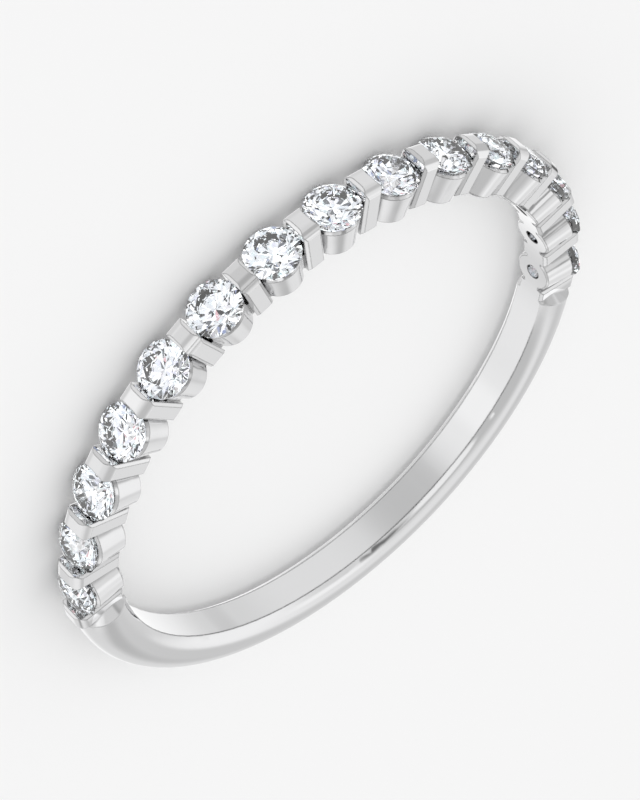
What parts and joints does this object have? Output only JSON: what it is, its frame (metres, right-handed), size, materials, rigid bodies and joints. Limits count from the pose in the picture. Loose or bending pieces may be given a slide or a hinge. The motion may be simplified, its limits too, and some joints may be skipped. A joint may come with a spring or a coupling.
{
  "type": "diamond anniversary band",
  "caption": "Half-eternity ring: round brilliants held between upright bars over small cups, with a plain rounded shank behind.",
  "frame": {"origin": "centre of the finger hole, at half the band's width", "axes": "+Z along the finger hole, upwards as the ring lies on its side; the middle of the row of stones faces -Y; +X towards the first stone"},
  "size_m": [0.0206, 0.0205, 0.0018],
  "materials": {
    "white_gold": "polished white gold",
    "diamond": "clear cut stone with polished facets"
  },
  "bodies": {
    "root": {"band": "white_gold", "stone_01": "diamond", "stone_02": "diamond", "stone_03": "diamond", "stone_04": "diamond", "stone_05": "diamond", "stone_06": "diamond", "stone_07": "diamond", "stone_08": "diamond", "stone_09": "diamond", "stone_10": "diamond", "stone_11": "diamond", "stone_12": "diamond", "stone_13": "diamond", "stone_14": "diamond", "stone_15": "diamond"}
  },
  "joints": []
}
